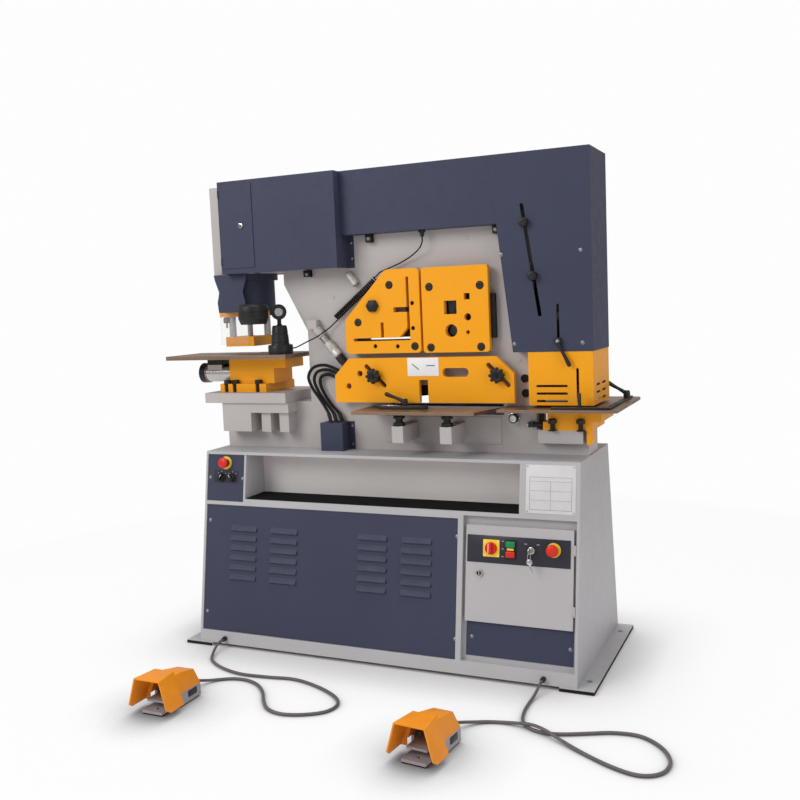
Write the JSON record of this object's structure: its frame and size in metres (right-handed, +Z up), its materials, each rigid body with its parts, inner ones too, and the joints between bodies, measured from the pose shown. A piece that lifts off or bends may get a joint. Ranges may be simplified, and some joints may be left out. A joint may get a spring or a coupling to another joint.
{
  "type": "hydraulic ironworker",
  "caption": "Hydraulic ironworker with punch, angle, bar and flat shears and a notcher on a sheet-metal base cabinet, with foot pedals on cables",
  "frame": {"origin": "on the floor under the middle of the base cabinet, the centre of the four anchor holes", "axes": "+X to the right seen from the front, +Y from the front to the back, +Z up"},
  "size_m": [2.0556, 1.3354, 1.7904],
  "materials": {
    "grey_paint": "satin light grey enamel",
    "blue_paint": "fine texture blue-grey powder coat",
    "yellow_paint": "satin signal yellow enamel",
    "orange_plastic": "moulded orange plastic",
    "machined_steel": "oiled machined steel",
    "blade_steel": "ground tool steel",
    "black_oxide": "black oxide steel",
    "black_plastic": "black moulded plastic",
    "black_rubber": "black rubber",
    "red_plastic": "red moulded plastic",
    "green_plastic": "green moulded plastic",
    "clear_plastic": "clear plastic sheet",
    "cast_grey": "grey painted cast housing",
    "bright_steel": "bright plated steel"
  },
  "bodies": {
    "machine": {"base_cabinet": "grey_paint", "base_covers": "blue_paint", "machine_frame": "grey_paint", "punch_cover": "blue_paint", "mid_cover": "blue_paint", "tall_cover": "blue_paint", "punch_cylinder": "grey_paint", "cylinder_nose": "blue_paint", "ram_guard": "blue_paint", "stripper": "yellow_paint", "punch_guard": "clear_plastic", "punch_table": "machined_steel", "die_bolster": "yellow_paint", "table_bar": "bright_steel", "angle_plate": "yellow_paint", "bar_plate": "yellow_paint", "frame_bolts": "black_oxide", "shear_table": "machined_steel", "fixed_blades": "blade_steel", "pivot_pin": "blade_steel", "main_cylinder": "cast_grey", "notch_guard": "yellow_paint", "notch_table": "machined_steel", "notch_die": "yellow_paint", "hose_box": "blue_paint", "hoses": "black_rubber", "lamp_base": "black_plastic", "lamp_cord": "black_rubber", "lamp_curl": "black_rubber", "power_pack": "cast_grey", "pedal_bases": "cast_grey", "pedal_hoods": "orange_plastic", "pedal_cord_left": "black_rubber", "pedal_cord_right": "black_rubber", "cord_glands": "black_plastic"},
    "punch_ram": {"punch_ram": "blade_steel"},
    "shear_beam": {"shear_beam": "machined_steel", "moving_blades": "blade_steel"},
    "cylinder_rod": {"cylinder_rod": "blade_steel"},
    "flat_shear_plate": {"flat_shear_plate": "yellow_paint"},
    "star_knob_left": {"star_knob_left": "black_plastic"},
    "star_knob_right": {"star_knob_right": "black_plastic"},
    "punch_cover_door": {"punch_cover_door": "blue_paint"},
    "electric_door": {"electric_door": "grey_paint"},
    "main_switch": {"main_switch": "red_plastic"},
    "start_button": {"start_button": "green_plastic"},
    "stop_button": {"stop_button": "red_plastic"},
    "control_key": {"control_key": "bright_steel"},
    "door_estop": {"door_estop": "red_plastic"},
    "control_estop": {"control_estop": "red_plastic"},
    "selector_left": {"selector_left": "black_plastic"},
    "selector_right": {"selector_right": "black_plastic"},
    "treadle_left": {"treadle_left": "cast_grey"},
    "treadle_right": {"treadle_right": "cast_grey"},
    "stroke_knob_upper": {"stroke_knob_upper": "black_plastic"},
    "stroke_knob_lower": {"stroke_knob_lower": "black_plastic"},
    "notch_stop": {"notch_stop": "black_oxide"},
    "shear_gauge": {"shear_gauge": "black_oxide"},
    "notch_gauge": {"notch_gauge": "black_oxide"},
    "lamp_head": {"lamp_head": "black_plastic"}
  },
  "joints": [
    {"name": "ram_stroke", "type": "slide", "parent": "machine", "child": "punch_ram", "axis": [0, 0, -1], "range_m": [0, 0.06]},
    {"name": "beam_swing", "type": "hinge", "parent": "machine", "child": "shear_beam", "pos_m": [-0.27, 0, 1.165], "axis": [0, 1, 0], "range_deg": [0, 6]},
    {"name": "rod_stroke", "type": "slide", "parent": "machine", "child": "cylinder_rod", "axis": [0, 0, -1], "range_m": [0, 0.0975]},
    {"name": "flat_plate_adjust", "type": "slide", "parent": "machine", "child": "flat_shear_plate", "axis": [-0.7071, 0, 0.7071], "range_m": [-0.018, 0.02]},
    {"name": "star_knob_left_turn", "type": "hinge", "parent": "machine", "child": "star_knob_left", "pos_m": [-0.04, -0.13, 1.032], "axis": [0, 1, 0], "range_deg": [0, 360]},
    {"name": "star_knob_right_turn", "type": "hinge", "parent": "machine", "child": "star_knob_right", "pos_m": [0.44, -0.13, 1.032], "axis": [0, 1, 0], "range_deg": [0, 360]},
    {"name": "punch_cover_door_hinge", "type": "hinge", "parent": "machine", "child": "punch_cover_door", "pos_m": [-0.655, -0.1685, 1.6], "axis": [0, 0, -1], "range_deg": [0, 110]},
    {"name": "electric_door_hinge", "type": "hinge", "parent": "machine", "child": "electric_door", "pos_m": [0.7355, -0.27553, 0.35741], "axis": [0, 0.1613, 0.9869], "range_deg": [0, 100]},
    {"name": "main_switch_turn", "type": "hinge", "parent": "electric_door", "child": "main_switch", "pos_m": [0.444, -0.26089, 0.44697], "axis": [0, 0.9869, -0.1613], "range_deg": [0, 90]},
    {"name": "start_button_press", "type": "slide", "parent": "electric_door", "child": "start_button", "axis": [0, 0.9869, -0.1613], "range_m": [0, 0.004], "stiffness_N_per_m": 500, "springref_m": -0.004},
    {"name": "stop_button_press", "type": "slide", "parent": "electric_door", "child": "stop_button", "axis": [0, 0.9869, -0.1613], "range_m": [0, 0.004], "stiffness_N_per_m": 500, "springref_m": -0.004},
    {"name": "control_key_turn", "type": "hinge", "parent": "electric_door", "child": "control_key", "pos_m": [0.587, -0.26073, 0.44796], "axis": [0, -0.9869, 0.1613], "range_deg": [0, 60]},
    {"name": "door_estop_press", "type": "slide", "parent": "electric_door", "child": "door_estop", "axis": [0, 0.9869, -0.1613], "range_m": [0, 0.004], "stiffness_N_per_m": 500, "springref_m": -0.004},
    {"name": "control_estop_press", "type": "slide", "parent": "machine", "child": "control_estop", "axis": [0, 0.9869, -0.1613], "range_m": [0, 0.004], "stiffness_N_per_m": 500, "springref_m": -0.004},
    {"name": "selector_left_turn", "type": "hinge", "parent": "machine", "child": "selector_left", "pos_m": [-0.677, -0.2283, 0.64632], "axis": [0, -0.9869, 0.1613], "range_deg": [-45, 45]},
    {"name": "selector_right_turn", "type": "hinge", "parent": "machine", "child": "selector_right", "pos_m": [-0.628, -0.2283, 0.64632], "axis": [0, -0.9869, 0.1613], "range_deg": [-45, 45]},
    {"name": "treadle_left_press", "type": "hinge", "parent": "machine", "child": "treadle_left", "pos_m": [-0.5, -0.821, 0.034], "axis": [1, 0, 0], "range_deg": [0, 8], "stiffness_Nm_per_rad": 6, "springref_deg": -11.46},
    {"name": "treadle_right_press", "type": "hinge", "parent": "machine", "child": "treadle_right", "pos_m": [0.44951, -0.84913, 0.034], "axis": [0.9945, -0.1045, 0], "range_deg": [0, 8], "stiffness_Nm_per_rad": 6, "springref_deg": -11.46},
    {"name": "stroke_upper_adjust", "type": "slide", "parent": "machine", "child": "stroke_knob_upper", "axis": [0.1433, 0, -0.9897], "range_m": [-0.05, 0.07]},
    {"name": "stroke_lower_adjust", "type": "slide", "parent": "machine", "child": "stroke_knob_lower", "axis": [0.1433, 0, -0.9897], "range_m": [-0.07, 0.12]},
    {"name": "notch_stop_adjust", "type": "slide", "parent": "machine", "child": "notch_stop", "axis": [0, 0, 1], "range_m": [0, 0.118]},
    {"name": "shear_gauge_adjust", "type": "slide", "parent": "machine", "child": "shear_gauge", "axis": [1, 0, 0], "range_m": [-0.05, 0.05]},
    {"name": "notch_gauge_adjust", "type": "slide", "parent": "machine", "child": "notch_gauge", "axis": [1, 0, 0], "range_m": [-0.02, 0.02]},
    {"name": "lamp_head_tilt", "type": "hinge", "parent": "machine", "child": "lamp_head", "pos_m": [-0.437, -0.125, 1.283], "axis": [-0.5195, 0.8545, 0], "range_deg": [-12, 50]}
  ],
  "couplings": [
    {"joint": "rod_stroke", "follows": "beam_swing", "m_per_rad": 0.92}
  ]
}
